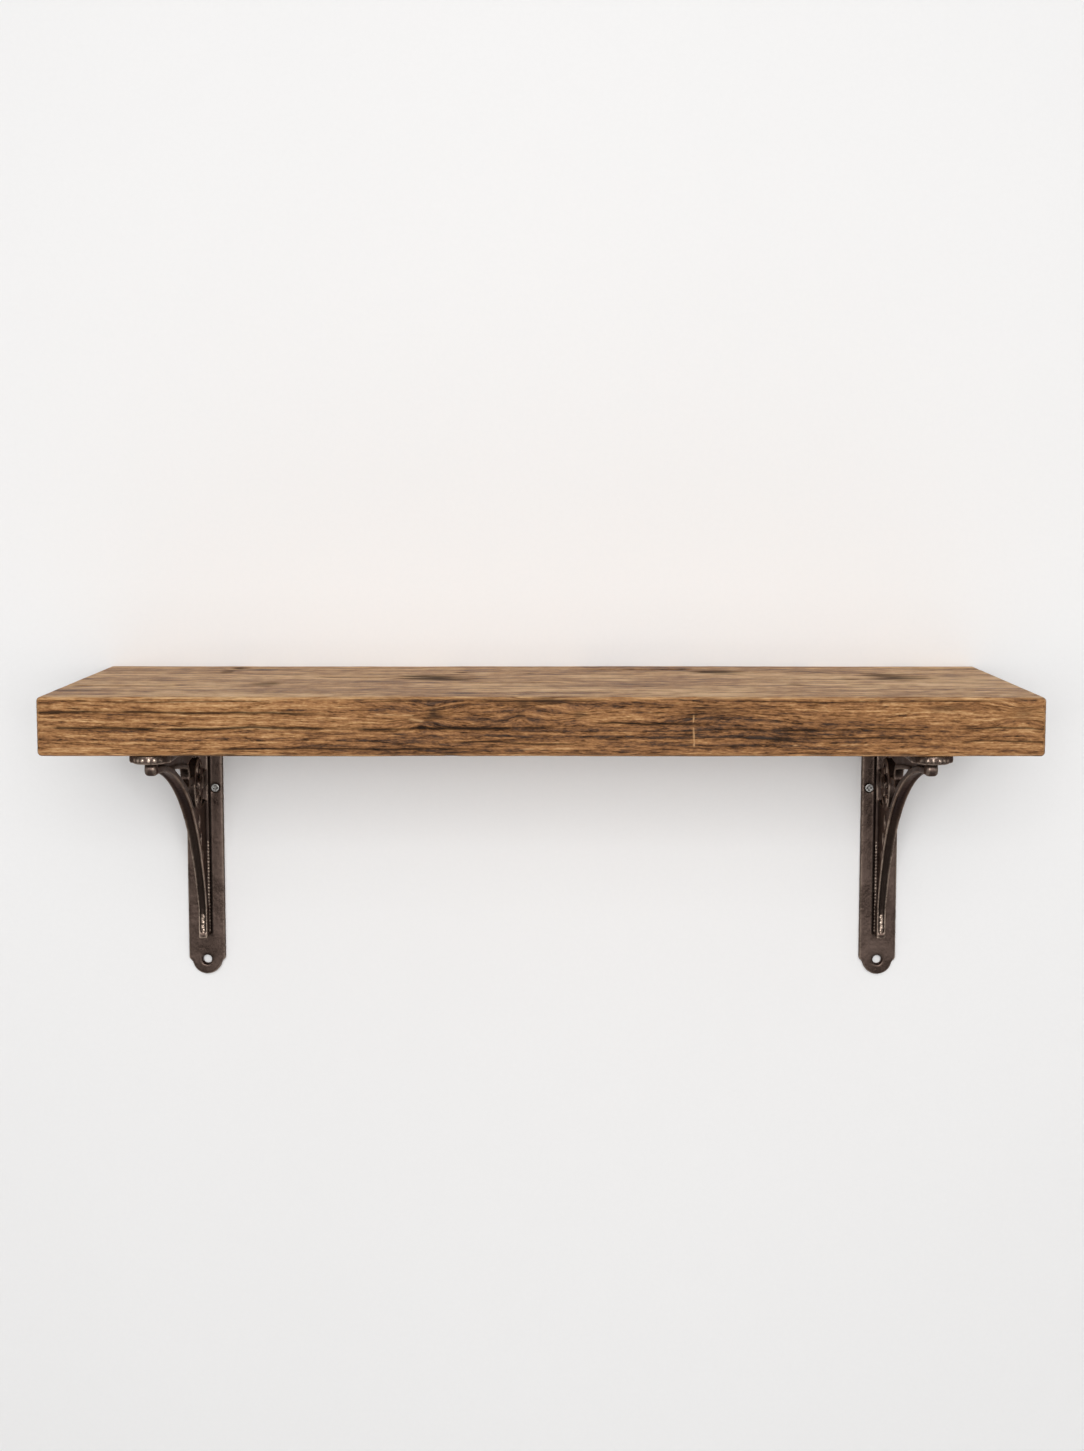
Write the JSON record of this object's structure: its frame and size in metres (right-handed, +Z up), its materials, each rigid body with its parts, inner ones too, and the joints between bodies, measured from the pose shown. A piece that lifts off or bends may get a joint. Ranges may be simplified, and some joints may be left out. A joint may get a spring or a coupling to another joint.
{
  "type": "wall shelf",
  "caption": "Thick waxed plank shelf with softened edges, carried on ornate cast-iron wall brackets with curved braces and openwork webs.",
  "frame": {"origin": "middle of the plank's back face, on the wall plane", "axes": "+X along the plank to the right as seen from the room, +Y into the wall, +Z up"},
  "size_m": [0.6, 0.2519, 0.2168],
  "materials": {
    "plank_wood": "waxed satin",
    "bracket_iron": "dark satin",
    "screw_steel": "satin"
  },
  "bodies": {
    "root": {"shelf_board": "plank_wood", "left_bracket": "bracket_iron", "right_bracket": "bracket_iron", "left_wall_screw_inner": "screw_steel", "left_rear_board_screw_inner": "screw_steel", "left_front_board_screw_inner": "screw_steel", "left_wall_screw_outer": "screw_steel", "left_rear_board_screw_outer": "screw_steel", "left_front_board_screw_outer": "screw_steel", "right_wall_screw_inner": "screw_steel", "right_rear_board_screw_inner": "screw_steel", "right_front_board_screw_inner": "screw_steel", "right_wall_screw_outer": "screw_steel", "right_rear_board_screw_outer": "screw_steel", "right_front_board_screw_outer": "screw_steel"}
  },
  "joints": []
}
